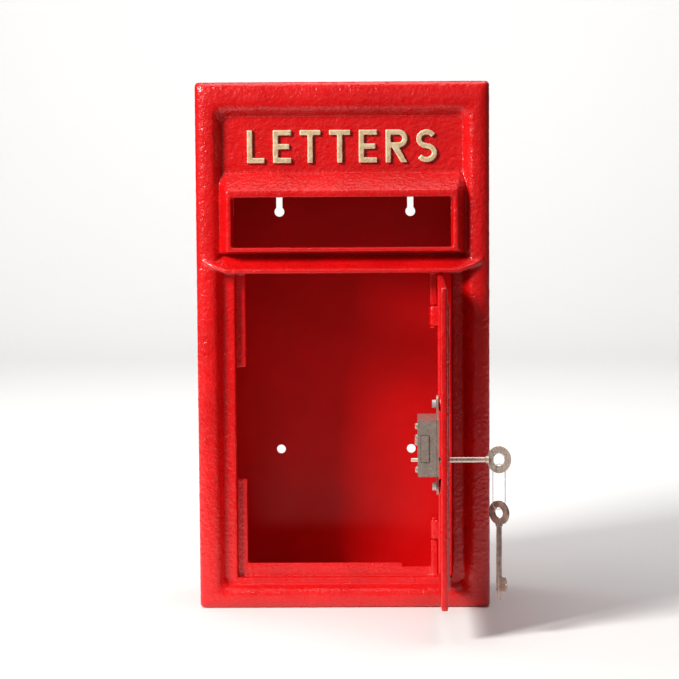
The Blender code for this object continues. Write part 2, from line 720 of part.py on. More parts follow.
def build_box_screws(material):
    """Six pan head screws, driven forwards from inside the box."""
    for number, (x, z) in enumerate(box_screw_places(), start=1):
        seat = BOX_FRONT_Y + SHEET + TOUCH_GAP
        top = seat + BOX_SCREW_HEAD_HEIGHT
        screw = rod_y(f"box_screw_{number}", x, z,
                      [(PLATE_BACK_Y - BOX_SCREW_BITE, BOX_SCREW_RADIUS), (seat, BOX_SCREW_RADIUS),
                       (seat, BOX_SCREW_HEAD), (top - OVERLAP, BOX_SCREW_HEAD),
                       (top, BOX_SCREW_HEAD - OVERLAP)])
        half = SCREW_SLOT_WIDTH / 2
        reach = BOX_SCREW_HEAD + OVERLAP
        cut(screw, block("slot", (x - reach, x + reach), (top - SCREW_SLOT_DEPTH, top + OVERLAP),
                         (z - half, z + half)))
        dress(screw, material)


# ---- door ----

def door_bead():
    """The raised bead round the door's outer face."""
    rings = []
    for inset, height in ((0, -OVERLAP), (OVERLAP, BEAD_HEIGHT), (BEAD_WIDTH - OVERLAP, BEAD_HEIGHT),
                          (BEAD_WIDTH, -OVERLAP)):
        half = DOOR_SIDE - BEAD_INSET - inset
        low = DOOR_LOW + BEAD_INSET + inset
        high = DOOR_HIGH - BEAD_INSET - inset
        outline = [(-half, low), (half, low), (half, high), (-half, high)]
        rings.append([point(x, PANEL_Y - height, z) for x, z in outline])
    return loft("bead", rings, looped=True)


def keyhole_for_bit(name, y_low, y_high, fit):
    """A keyhole: a round for the shank with a slot below it for the bit."""
    radius = KEY_SHANK_RADIUS + fit
    half = BIT_THICKNESS / 2 + fit
    reach = math.degrees(math.asin(half / radius))
    low = KEY_Z - BIT_RADIUS - fit
    outline = arc(LOCK_X, KEY_Z, radius, -90 + reach, 270 - reach, ROUND_SIDES)
    outline += [(LOCK_X - half, low), (LOCK_X + half, low)]
    return slab(name, outline, y_low, y_high)


def lock_screw_places():
    """Heights of the two screws through the lock's ears."""
    reach = LOCK_HEIGHT / 2 + EAR_REACH
    return [("upper", LOCK_Z + reach), ("lower", LOCK_Z - reach)]


def door_knuckle(name, low):
    """A door lug with the bore for one hinge pin."""
    high = low + KNUCKLE_HEIGHT
    web = block(name, (HINGE_X - KNUCKLE_RADIUS, HINGE_X + KNUCKLE_RADIUS),
                (PANEL_Y + DOOR_PLATE - OVERLAP, HINGE_Y), (low, high))
    radius = KNUCKLE_RADIUS - NUDGE / 2
    barrel = rod_z("barrel", HINGE_X, HINGE_Y, [(low + NUDGE, radius), (high - NUDGE, radius)])
    bore = HINGE_PIN_RADIUS + HINGE_FIT
    hole = rod_z("hole", HINGE_X, HINGE_Y, [(low - CUT_MARGIN, bore), (high + CUT_MARGIN, bore)])
    return join(web, barrel), hole


def door_plate():
    """The flat plate, its hinge edge bevelled so that it swings clear of the surround."""
    front = PANEL_Y
    back = PANEL_Y + DOOR_PLATE
    corner = [(-DOOR_SIDE, front), (DOOR_SIDE - DOOR_EDGE_BEVEL, front),
              (DOOR_SIDE, back), (-DOOR_SIDE, back)]
    return loft("door_casting", [[point(x, y, z) for x, y in corner] for z in (DOOR_LOW, DOOR_HIGH)])


def build_door(material, pivot):
    """The cast door: plate, outer bead, inner rim, ribs, lock bosses and hinge knuckles."""
    door = door_plate()
    inner = PANEL_Y + DOOR_PLATE
    rim_y = (inner - OVERLAP, inner + DOOR_RIM_HEIGHT)
    side = -DOOR_SIDE
    join(door, door_bead(),
         block("free_rim", (side, side + DOOR_RIM_WIDTH), rim_y, (DOOR_LOW, DOOR_HIGH)),
         block("top_rim", (side, DOOR_RIM_STOP), rim_y, (DOOR_HIGH - DOOR_RIM_WIDTH, DOOR_HIGH)),
         block("bottom_rim", (side, DOOR_RIM_STOP), rim_y, (DOOR_LOW, DOOR_LOW + DOOR_RIM_WIDTH)),
         block("hinge_rib", (RIB_X, RIB_X + RIB_WIDTH), (inner - OVERLAP, inner + RIB_HEIGHT),
               (DOOR_LOW + OVERLAP, DOOR_HIGH - OVERLAP)),
         rod_y("escutcheon", LOCK_X, KEY_Z,
               [(PANEL_Y - ESCUTCHEON_HEIGHT, ESCUTCHEON_RADIUS - OVERLAP),
                (PANEL_Y + OVERLAP, ESCUTCHEON_RADIUS)]))
    upper_low = UPPER_LUG_LOW - KNUCKLE_GAP - KNUCKLE_HEIGHT
    lower_low = LOWER_LUG_HIGH + KNUCKLE_GAP
    holes = []
    for name, low in (("upper_knuckle", upper_low), ("lower_knuckle", lower_low)):
        knuckle, hole = door_knuckle(name, low)
        join(door, knuckle)
        holes.append(hole)
    for name, z in lock_screw_places():
        join(door, rod_y(f"{name}_boss", LOCK_X, z,
                         [(inner - OVERLAP, LOCK_BOSS_RADIUS + OVERLAP),
                          (COVER_Y - TOUCH_GAP, LOCK_BOSS_RADIUS)]))
        holes.append(rod_y("screw_hole", LOCK_X, z,
                           [(PANEL_Y + LOCK_BOSS_FLOOR, LOCK_SCREW_RADIUS + SCREW_FIT),
                            (COVER_Y + CUT_MARGIN, LOCK_SCREW_RADIUS + SCREW_FIT)]))
    holes.append(keyhole_for_bit("keyhole", PANEL_Y - CUT_MARGIN, inner + CUT_MARGIN, KEY_FIT))
    cut(door, *holes)
    return dress(door, material, pivot)


def build_hinge_pins(material):
    """Two headed pins: the upper goes up into its lug, the lower goes down."""
    r = HINGE_PIN_RADIUS
    knuckle_low = UPPER_LUG_LOW - KNUCKLE_GAP - KNUCKLE_HEIGHT
    seat = knuckle_low - TOUCH_GAP
    upper = rod_z("hinge_pin_upper", HINGE_X, HINGE_Y,
                  [(seat - PIN_HEAD_HEIGHT, PIN_HEAD_RADIUS), (seat, PIN_HEAD_RADIUS), (seat, r),
                   (UPPER_LUG_LOW + PIN_BITE, r)])
    seat = LOWER_LUG_HIGH + KNUCKLE_GAP + KNUCKLE_HEIGHT + TOUCH_GAP
    lower = rod_z("hinge_pin_lower", HINGE_X, HINGE_Y,
                  [(LOWER_LUG_HIGH - PIN_BITE, r), (seat, r), (seat, PIN_HEAD_RADIUS),
                   (seat + PIN_HEAD_HEIGHT, PIN_HEAD_RADIUS)])
    dress(upper, material)
    dress(lower, material)


# ---- lock ----

def post_places():
    """Name and centre of the posts that hold cover and case together."""
    offsets = (("bolt_guide_post", GUIDE_POST), ("lever_post", LEVER_POST),
               ("case_rivet_upper", UPPER_RIVET), ("case_rivet_lower", LOWER_RIVET))
    return [(name, LOCK_X + dx, LOCK_Z + dz) for name, (dx, dz) in offsets]


def post_holes(y_low, y_high):
    """Cutters for the posts."""
    return [rod_y("post_hole", x, z, [(y_low, POST_RADIUS + POST_FIT), (y_high, POST_RADIUS + POST_FIT)])
            for _, x, z in post_places()]


def build_lock_case(material, pivot):
    """The pressed case, open towards its cover, with the bolt's mouth in its free end."""
    half = LOCK_WIDTH / 2
    tall = LOCK_HEIGHT / 2
    case = block("lock_case", (LOCK_X - half, LOCK_X + half), (CASE_Y, CASE_BACK_Y),
                 (LOCK_Z - tall, LOCK_Z + tall))
    wall = LOCK_WALL
    cut(case, block("inside", (LOCK_X - half + wall, LOCK_X + half - wall),
                    (CASE_Y - CUT_MARGIN, CASE_FLOOR_Y), (LOCK_Z - tall + wall, LOCK_Z + tall - wall)))
    mouth = BOLT_HEIGHT / 2 + BOLT_FIT
    cut(case, block("mouth", (LOCK_FREE_X - CUT_MARGIN, LOCK_FREE_X + CUT_MARGIN),
                    (BOLT_FRONT_Y - BOLT_FIT, BOLT_BACK_Y + BOLT_FIT), (LOCK_Z - mouth, LOCK_Z + mouth)),
        rod_y("tip_hole", LOCK_X, KEY_Z, [(CASE_FLOOR_Y - OVERLAP, KEY_TIP_RADIUS + KEY_FIT),
                                          (CASE_BACK_Y + OVERLAP, KEY_TIP_RADIUS + KEY_FIT)]),
        *post_holes(CASE_FLOOR_Y - OVERLAP, CASE_BACK_Y + OVERLAP))
    return dress(case, material, pivot)


def build_lock_cover(material, pivot):
    """The flat cover next to the door, with two slotted ears."""
    half = LOCK_WIDTH / 2
    tall = LOCK_HEIGHT / 2
    ear_top = LOCK_Z + tall + EAR_REACH
    ear_low = LOCK_Z - tall - EAR_REACH
    steps = ROUND_SIDES // 2
    outline = [(LOCK_X + half, LOCK_Z - tall), (LOCK_X + half, LOCK_Z + tall)]
    outline += [(LOCK_X + EAR_RADIUS, LOCK_Z + tall)]
    outline += arc(LOCK_X, ear_top, EAR_RADIUS, 0, 180, steps)
    outline += [(LOCK_X - EAR_RADIUS, LOCK_Z + tall), (LOCK_X - half, LOCK_Z + tall),
                (LOCK_X - half, LOCK_Z - tall), (LOCK_X - EAR_RADIUS, LOCK_Z - tall)]
    outline += arc(LOCK_X, ear_low, EAR_RADIUS, 180, 360, steps)
    outline += [(LOCK_X + EAR_RADIUS, LOCK_Z - tall)]
    cover = slab("lock_cover", outline, COVER_Y, COVER_Y + LOCK_COVER)
    low, high = COVER_Y - OVERLAP, COVER_Y + LOCK_COVER + OVERLAP
    for _, z in lock_screw_places():
        ear_slot = arc(LOCK_X, z + EAR_SLOT / 2, EAR_HOLE_RADIUS, 0, 180, steps)
        ear_slot += arc(LOCK_X, z - EAR_SLOT / 2, EAR_HOLE_RADIUS, 180, 360, steps)
        cut(cover, slab("ear_slot", ear_slot, low, high))
    cut(cover, keyhole_for_bit("cover_keyhole", low, high, KEY_FIT), *post_holes(low, high))
    return dress(cover, material, pivot)


def build_posts(material, pivot):
    """Headed posts through the case, ending flush in the cover."""
    for name, x, z in post_places():
        seat = CASE_BACK_Y + TOUCH_GAP
        top = seat + POST_HEAD_HEIGHT
        post = rod_y(name, x, z, [(COVER_Y + TOUCH_GAP, POST_RADIUS), (seat, POST_RADIUS), (seat, POST_HEAD),
                                  (top - OVERLAP, POST_HEAD), (top, POST_HEAD - OVERLAP)])
        dress(post, material, pivot)


def build_lock_screws(material, pivot):
    """Two cheese head screws through the ears into the door's bosses."""
    for name, z in lock_screw_places():
        seat = COVER_Y + LOCK_COVER + TOUCH_GAP
        top = seat + LOCK_SCREW_HEAD_HEIGHT
        screw = rod_y(f"lock_screw_{name}", LOCK_X, z,
                      [(PANEL_Y + LOCK_BOSS_FLOOR + PIN_END_GAP, LOCK_SCREW_RADIUS),
                       (seat, LOCK_SCREW_RADIUS), (seat, LOCK_SCREW_HEAD), (top, LOCK_SCREW_HEAD)])
        half = SCREW_SLOT_WIDTH / 2
        reach = LOCK_SCREW_HEAD + OVERLAP
        cut(screw, block("slot", (LOCK_X - half, LOCK_X + half), (top - SCREW_SLOT_DEPTH, top + OVERLAP),
                         (z - reach, z + reach)))
        dress(screw, material, pivot)


def build_bolt(material, pivot):
    """The bolt: thick head, thin tail with its guide slot, talon and stump."""
    start = LOCK_FREE_X - BOLT_PROUD
    neck = start + BOLT_HEAD_LENGTH
    end = neck + BOLT_TAIL_LENGTH
    half = BOLT_HEIGHT / 2
    bolt = block("lock_bolt", (start, neck), (BOLT_FRONT_Y, BOLT_BACK_Y), (LOCK_Z - half, LOCK_Z + half))
    tail_y = (BOLT_BACK_Y - BOLT_TAIL, BOLT_BACK_Y - NUDGE / 2)
    tail_low = KEY_Z + TALON_HEIGHT
    stump = STUMP_SIZE / 2
    stump_x = LOCK_X + STUMP_FORWARD
    stump_z = KEY_Z + STUMP_RISE
    lever_front = COVER_Y + LOCK_COVER + LEVER_START
    join(bolt, block("tail", (neck - OVERLAP, end), tail_y, (tail_low, LOCK_Z + half - NUDGE)),
         block("stump", (stump_x - stump, stump_x + stump), (lever_front, BOLT_BACK_Y - OVERLAP),
               (stump_z - stump, stump_z + stump)))
    chord = math.sqrt(BIT_RADIUS ** 2 - TALON_HEIGHT ** 2)
    sway = BOLT_TRAVEL * math.acos(TALON_HEIGHT / BIT_RADIUS) / (2 * math.pi)
    talon = chord + sway + TALON_MARGIN
    talon_x = LOCK_X + BOLT_TRAVEL / 2
    guide_x, guide_z = LOCK_X + GUIDE_POST[0], LOCK_Z + GUIDE_POST[1]
    guide = POST_RADIUS + BOLT_FIT
    slot = arc(guide_x, guide_z, guide, 90, 270, ROUND_SIDES // 2)
    slot += arc(guide_x + BOLT_TRAVEL, guide_z, guide, -90, 90, ROUND_SIDES // 2)
    cut(bolt, block("talon", (talon_x - talon, talon_x + talon), (tail_y[0] - OVERLAP, tail_y[1] + OVERLAP),
                    (tail_low - OVERLAP, KEY_Z + BIT_RADIUS + TALON_MARGIN)),
        slab("guide_slot", slot, tail_y[0] - OVERLAP, tail_y[1] + OVERLAP))
    return dress(bolt, material, pivot)


def build_lever(number, material, spring_material, pivot):
    """One lever with its window for the bolt's stump, and the leaf spring above it."""
    near = COVER_Y + LOCK_COVER + LEVER_START + (number - 1) * LEVER_PITCH
    far = near + LEVER_THICKNESS
    px, pz = LOCK_X + LEVER_POST[0], LOCK_Z + LEVER_POST[1]
    low = KEY_Z + BIT_RADIUS + TALON_MARGIN
    high = low + LEVER_HEIGHT
    tip = px - LEVER_REACH
    reach = math.degrees(math.asin((high - pz) / LEVER_EYE))
    dip = math.degrees(math.asin((low - pz) / LEVER_EYE))
    outline = [(tip, low)]
    outline += arc(px, pz, LEVER_EYE, dip, reach, ROUND_SIDES // 2)
    outline += [(tip, high)]
    lever = slab(f"lever_{number}", outline, near, far)
    stump = STUMP_SIZE / 2
    stump_x = LOCK_X + STUMP_FORWARD
    window_x = (stump_x - BOLT_TRAVEL - stump - WINDOW_SLACK, stump_x + stump + WINDOW_SLACK)
    through = (near - OVERLAP, far + OVERLAP)
    eye_radius = POST_RADIUS + POST_FIT
    cut(lever, block("window", window_x, through, (low + LEVER_BAR, high - LEVER_BAR)),
        rod_y("eye", px, pz, [(y, eye_radius) for y in through]))
    dress(lever, material, pivot)
    start_x = px - SPRING_FOOT
    foot_z = high + TOUCH_GAP
    under = []
    over = []
    for step in range(SPRING_STEPS + 1):
        share = step / SPRING_STEPS
        x = start_x - SPRING_REACH * share
        z = foot_z + SPRING_RISE * share ** SPRING_CURVE
        under.append((x, z))
        over.append((x, z + SPRING_THICKNESS))
    spring = slab(f"lever_spring_{number}", under + over[::-1], near, far)
    dress(spring, spring_material, pivot)


# ---- keys ----

def ellipse(half_length, half_height, sides):
    """Points of an ellipse in the key's own y and z."""
    turn = 2 * math.pi / sides
    return [(half_length * math.cos(turn * i), half_height * math.sin(turn * i)) for i in range(sides)]


def key_shape(name):
    """A key along +y from its bow's centre, bow in the yz plane, bit pointing down."""
    half = BOW_THICKNESS / 2
    bow_outline = ellipse(BOW_LENGTH / 2, BOW_HEIGHT / 2, BOW_SIDES)
    bow = loft(name, [[Vector((x, y, z)) for y, z in bow_outline] for x in (-half, half)])
    hole_outline = ellipse(BOW_HOLE_LENGTH / 2, BOW_HOLE_HEIGHT / 2, BOW_SIDES)
    hole = loft("hole", [[Vector((x, y, z)) for y, z in hole_outline] for x in (-2 * half, 2 * half)])
    root = BOW_LENGTH / 2 - 2 * OVERLAP
    bit_end = KEY_LENGTH - KEY_TIP_LENGTH
    stations = [(root, COLLAR_RADIUS), (root + COLLAR_LENGTH, COLLAR_RADIUS),
                (root + COLLAR_LENGTH + OVERLAP, KEY_SHANK_RADIUS), (bit_end, KEY_SHANK_RADIUS),
                (bit_end, KEY_TIP_RADIUS), (KEY_LENGTH - OVERLAP / 2, KEY_TIP_RADIUS),
                (KEY_LENGTH, KEY_TIP_RADIUS - OVERLAP / 2)]
    shank = loft("shank", [[Vector((x, y, z)) for x, z in disc(0, 0, r)] for y, r in stations])
    blade = BIT_THICKNESS / 2
    start = bit_end - BIT_LENGTH
    finish = bit_end - NUDGE
    middle = (start + finish) / 2
    ward = BIT_WARD_WIDTH / 2
    low = -BIT_RADIUS
    step = BIT_WARD_DEPTH / 2
    notch = -BIT_RADIUS + BIT_WARD_DEPTH
    third = BIT_LENGTH / 3
    bit_outline = [(start, 0), (start, low + step),
                   (start + third / 2, low + step), (start + third / 2, low),
                   (middle - ward, low), (middle - ward, notch),
                   (middle + ward, notch), (middle + ward, low),
                   (finish - third / 2, low), (finish - third / 2, low + step),
                   (finish, low + step), (finish, 0)]
    bit = loft("bit", [[Vector((x, y, z)) for y, z in bit_outline] for x in (-blade, blade)])
    return join(cut(bow, hole), shank, bit)


def ring_shape(top, bottom):
    """The wire loop that hangs in the bow; its flat side is turned by RING_TWIST."""
    turn = Matrix.Rotation(RING_TWIST, 3, "Z")
    radius = RING_HALF_WIDTH
    route = arc(0, top - radius, radius, 0, 180, RING_STEPS)
    route += arc(0, bottom + radius, radius, 180, 360, RING_STEPS)
    rings = []
    for index, (across, z) in enumerate(route):
        before = Vector(route[index - 1])
        after = Vector(route[(index + 1) % len(route)])
        along = (after - before).normalized()
        outward = Vector((along.y, -along.x))
        circle = []
        for side in range(WIRE_SIDES):
            angle = 2 * math.pi * side / WIRE_SIDES
            out = RING_WIRE_RADIUS * math.cos(angle)
            flat = RING_WIRE_RADIUS * math.sin(angle)
            circle.append(turn @ Vector((across + outward.x * out, flat, z + outward.y * out)))
        rings.append(circle)
    return loft("key_ring", rings, looped=True)


def build_keys(material, ring_material, key_pivot, ring_pivot, spare_pivot, places):
    """The key in the lock, the wire ring through its bow, and the spare key below."""
    bow, ring_top, ring_bottom, spare_bow = places
    key = key_shape("key")
    key.data.transform(Matrix.Translation(bow))
    dress(key, material, key_pivot)
    ring = ring_shape(ring_top.z, ring_bottom.z)
    ring.data.transform(Matrix.Translation((bow.x, bow.y, 0)))
    dress(ring, ring_material, ring_pivot)
    spare = key_shape("spare_key")
    hang = Matrix.Rotation(SPARE_TWIST, 4, "Z") @ Matrix.Rotation(math.radians(-90), 4, "X")
    spare.data.transform(Matrix.Translation(spare_bow) @ hang)
    dress(spare, material, spare_pivot)


def build():
    """Make every piece, closed door first, then swing the door open."""
    clear_scene()
    enamel = finish_material("red_enamel", (0.62, 0.008, 0.012), 0.3, 0.0)
    sheet = finish_material("red_sheet", (0.55, 0.01, 0.014), 0.38, 0.0)
    nickel = finish_material("nickel_plate", (0.62, 0.57, 0.5), 0.28, 1.0)
    key_nickel = finish_material("key_nickel", (0.66, 0.6, 0.52), 0.25, 1.0)
    zinc = finish_material("zinc_steel", (0.6, 0.6, 0.6), 0.4, 1.0)
    brass = finish_material("brass", (0.72, 0.52, 0.22), 0.35, 1.0)
    spring_steel = finish_material("spring_steel", (0.5, 0.5, 0.52), 0.3, 1.0)

    build_front(enamel)
    build_back_box(sheet)
    build_box_screws(zinc)
    build_hinge_pins(enamel)

    door_pivot = make_pivot("door_pivot", point(HINGE_X, HINGE_Y, 0))
    build_door(enamel, door_pivot)
    build_lock_case(nickel, door_pivot)
    build_lock_cover(nickel, door_pivot)
    build_posts(nickel, door_pivot)
    build_lock_screws(zinc, door_pivot)

    bolt_pivot = make_pivot("bolt_pivot", point(LOCK_X, BOLT_BACK_Y, LOCK_Z), door_pivot)
    build_bolt(nickel, bolt_pivot)
    for number in range(1, LEVER_COUNT + 1):
        place = point(LOCK_X + LEVER_POST[0], CASE_Y, LOCK_Z + LEVER_POST[1])
        lever_pivot = make_pivot(f"lever_pivot_{number}", place, door_pivot)
        build_lever(number, brass, spring_steel, lever_pivot)

    bow = point(LOCK_X, PANEL_Y - KEY_OUT, KEY_Z)
    ring_top = bow - Vector((0, 0, BOW_HOLE_HEIGHT / 2 - RING_SEAT))
    ring_bottom = ring_top - Vector((0, 0, RING_LENGTH))
    spare_bow = ring_bottom - Vector((0, 0, BOW_HOLE_LENGTH / 2 - RING_SEAT))
    key_pivot = make_pivot("key_pivot", bow, door_pivot)
    ring_pivot = make_pivot("ring_pivot", bow, key_pivot)
    spare_pivot = make_pivot("spare_pivot", ring_bottom, ring_pivot)
    build_keys(key_nickel, spring_steel, key_pivot, ring_pivot, spare_pivot,
               (bow, ring_top, ring_bottom, spare_bow))
    door_pivot.rotation_euler.z = DOOR_OPEN_ANGLE


build()
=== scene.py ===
"""Looks of the wall mounted mailbox: enamelled castings, painted lettering, plated lock and keys.

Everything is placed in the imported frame: metres, +X to the right, +Y into the wall, +Z up.
"""
import math

import bmesh
import bpy
from mathutils import Matrix, Vector


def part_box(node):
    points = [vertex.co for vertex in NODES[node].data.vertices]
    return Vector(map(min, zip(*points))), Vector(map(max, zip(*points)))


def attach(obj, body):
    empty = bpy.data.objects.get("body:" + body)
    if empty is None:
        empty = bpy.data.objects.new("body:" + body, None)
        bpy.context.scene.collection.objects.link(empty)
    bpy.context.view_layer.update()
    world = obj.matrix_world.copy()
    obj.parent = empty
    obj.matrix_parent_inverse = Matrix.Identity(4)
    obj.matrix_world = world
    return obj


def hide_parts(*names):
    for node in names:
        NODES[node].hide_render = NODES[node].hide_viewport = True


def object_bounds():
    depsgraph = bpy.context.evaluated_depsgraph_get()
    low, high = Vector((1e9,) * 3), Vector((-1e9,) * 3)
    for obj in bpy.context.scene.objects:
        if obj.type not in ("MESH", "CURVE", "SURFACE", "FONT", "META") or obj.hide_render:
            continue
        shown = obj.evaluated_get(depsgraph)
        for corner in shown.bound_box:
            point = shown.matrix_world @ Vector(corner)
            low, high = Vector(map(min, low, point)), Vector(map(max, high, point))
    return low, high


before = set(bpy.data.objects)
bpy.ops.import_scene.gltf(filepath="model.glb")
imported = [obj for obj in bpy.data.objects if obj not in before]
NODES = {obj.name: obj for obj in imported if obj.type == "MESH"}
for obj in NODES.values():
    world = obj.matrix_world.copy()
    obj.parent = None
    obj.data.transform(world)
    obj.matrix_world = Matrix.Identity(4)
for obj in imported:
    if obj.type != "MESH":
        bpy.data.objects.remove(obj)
CAD_LOW, CAD_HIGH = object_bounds()
MM = 0.001

# ---- places in the frame ----
FRONT_LOW, FRONT_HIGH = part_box("front_casting")
CREST_BEHIND_HOOD = 12 * MM
CREST_Y = FRONT_LOW.y + CREST_BEHIND_HOOD
PANEL_BEHIND_CREST = 12 * MM
PANEL_Y = CREST_Y + PANEL_BEHIND_CREST
LETTER_RELIEF = 3.5 * MM
LETTER_LOW = FRONT_LOW.z + 489 * MM
LETTER_HIGH = FRONT_LOW.z + 527 * MM
LETTER_HALF_ROW = 105 * MM
SAME_PLANE = 0.2 * MM

# ---- castings ----
SKIN_VOXEL = 1.1 * MM
SKIN_ROUNDS = 9
SKIN_SHARE = 0.28               # part of the faces kept, so that each mesh stays moderate
LETTER_VOXEL = 0.55 * MM
LETTER_ROUNDS = 9
LETTER_ROOT = 1.2 * MM          # how far a letter runs into the panel
SAND_SIZE = 7 * MM
SAND_HEIGHT = 0.45 * MM
GRIT_SIZE = 3 * MM
GRIT_HEIGHT = 0.28 * MM
CLOUD_DEPTH = 2                 # layers of detail in the sand and the grit
SMOOTH_FACTOR = 0.5

# ---- broken edges of the CAD nodes that stay ----
SHARP_ANGLE = math.radians(35)
EDGE_SEGMENTS = 2
ZINC_EDGE = 0.25 * MM
SHEET_EDGE = 0.3 * MM
BRASS_EDGE = 0.2 * MM
KEY_EDGE = 0.45 * MM
NICKEL_EDGE = 0.5 * MM
PIN_EDGE = 0.3 * MM

# ---- gold paint on the letters ----
PAINT_END = 1.6 * MM            # above the panel, where the paint stops
PAINT_START = 0.9 * MM          # above the panel, where the red shows alone
PAINT_WANDER = 1.2 * MM

# ---- camera ----
CAMERA_X = 52.8 * MM
CAMERA_FROM_CREST = 2900 * MM
CAMERA_HEIGHT = 567.9 * MM      # above the bottom edge of the front
CAMERA_YAW = math.radians(-1.122)
CAMERA_PITCH = math.radians(5.32)
CAMERA_ROLL = math.radians(0.386)
CAMERA_LENS = 141.46
SENSOR_WIDTH = 36

# ---- studio, in metres and watts ----
FLOOR_FRONT = -0.62
FLOOR_BACK = 2.6
FLOOR_HALF_WIDTH = 1.4
SWEEP_RADIUS = 1.2
SWEEP_STEPS = 12
KEY_PLACE = (-2.0, -1.95, 1.62)
KEY_SIZE = 0.9
KEY_POWER = 138
KEY_COLOUR = (1.0, 0.985, 0.96)
FRONT_PLACE = (0.5, -3.4, 0.9)
FRONT_SIZE = (1.6, 1.2)
FRONT_POWER = 2.2
TOP_PLACE = (0.1, -0.1, 2.3)
TOP_SIZE = (1.8, 1.4)
TOP_POWER = 21
SWEEP_PLACE = (0.0, 0.9, 2.4)
SWEEP_AIM = (0.0, 3.4, 0.6)
SWEEP_SIZE = (3.5, 1.0)
SWEEP_POWER = 82
DIM_STRENGTH = 0.06


# ---- objects ----

def add_object(name, data):
    """A new object in the scene."""
    item = bpy.data.objects.new(name, data)
    bpy.context.scene.collection.objects.link(item)
    return item


def settle(item):
    """Replace an object's mesh by what its modifiers give."""
    depsgraph = bpy.context.evaluated_depsgraph_get()
    mesh = bpy.data.meshes.new_from_object(item.evaluated_get(depsgraph))
    item.modifiers.clear()
    item.data = mesh
    mesh.name = item.name
    return item


def dress(item, material, smooth=True):
    """One material, smooth or flat shading."""
    item.data.materials.clear()
    item.data.materials.append(material)
    if smooth:
        item.data.shade_smooth()
    return item


def even_mesh(item, voxel, rounds):
    """Remesh to even faces and soften every edge, as a thick coat over a casting does."""
    remesh = item.modifiers.new("skin", "REMESH")
    remesh.mode = "VOXEL"
    remesh.voxel_size = voxel
    soften = item.modifiers.new("soften", "SMOOTH")
    soften.factor = SMOOTH_FACTOR
    soften.iterations = rounds
    return item


def roughen(item, name, size, height):
    """Uneven skin: the surface moves in and out along its normals."""
    texture = bpy.data.textures.new(name, "CLOUDS")
    texture.noise_scale = size
    texture.noise_depth = CLOUD_DEPTH
    push = item.modifiers.new(name, "DISPLACE")
    push.texture = texture
    push.texture_coords = "LOCAL"
    push.strength = height
    push.mid_level = 0.5
    return item


def thin_out(item, share):
    """Fewer faces, where the surface is plain."""
    fewer = item.modifiers.new("fewer", "DECIMATE")
    fewer.ratio = share
    return item


def is_letter_vertex(place):
    """True on the flat top of the raised word."""
    top = abs(place.y - (PANEL_Y - LETTER_RELIEF)) < SAME_PLANE
    return top and LETTER_LOW < place.z < LETTER_HIGH and abs(place.x) < LETTER_HALF_ROW


def cast_piece(name, node, body, material):
    """A casting: the CAD node's own shape with soft edges and a sandy skin under enamel."""
    item = add_object(name, NODES[node].data.copy())
    for vertex in item.data.vertices:
        if is_letter_vertex(vertex.co):
            vertex.co.y = PANEL_Y
    even_mesh(item, SKIN_VOXEL, SKIN_ROUNDS)
    roughen(item, "sand", SAND_SIZE, SAND_HEIGHT)
    roughen(item, "grit", GRIT_SIZE, GRIT_HEIGHT)
    thin_out(item, SKIN_SHARE)
    settle(item)
    dress(item, material)
    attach(item, body)
    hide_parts(node)
    return item


def letter_pieces(material):
    """The raised word: each letter is drawn back from its flat top into the panel."""
    bm = bmesh.new()
    bm.from_mesh(NODES["front_casting"].data)
    bmesh.ops.remove_doubles(bm, verts=bm.verts, dist=SAME_PLANE / 10)
    others = [face for face in bm.faces
              if not all(is_letter_vertex(v.co) for v in face.verts)]
    bmesh.ops.delete(bm, geom=others, context="FACES")
    grown = bmesh.ops.extrude_face_region(bm, geom=list(bm.faces))
    back = [v for v in grown["geom"] if isinstance(v, bmesh.types.BMVert)]
    for vertex in back:
        vertex.co.y = PANEL_Y + LETTER_ROOT
    bmesh.ops.recalc_face_normals(bm, faces=bm.faces)
    mesh = bpy.data.meshes.new("lettering")
    bm.to_mesh(mesh)
    bm.free()
    item = add_object("raised_lettering", mesh)
    even_mesh(item, LETTER_VOXEL, LETTER_ROUNDS)
    roughen(item, "letter_sand", SAND_SIZE, SAND_HEIGHT)
    roughen(item, "letter_grit", GRIT_SIZE, GRIT_HEIGHT)
    settle(item)
    dress(item, material)
    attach(item, "cabinet")
    return item


# ---- materials ----

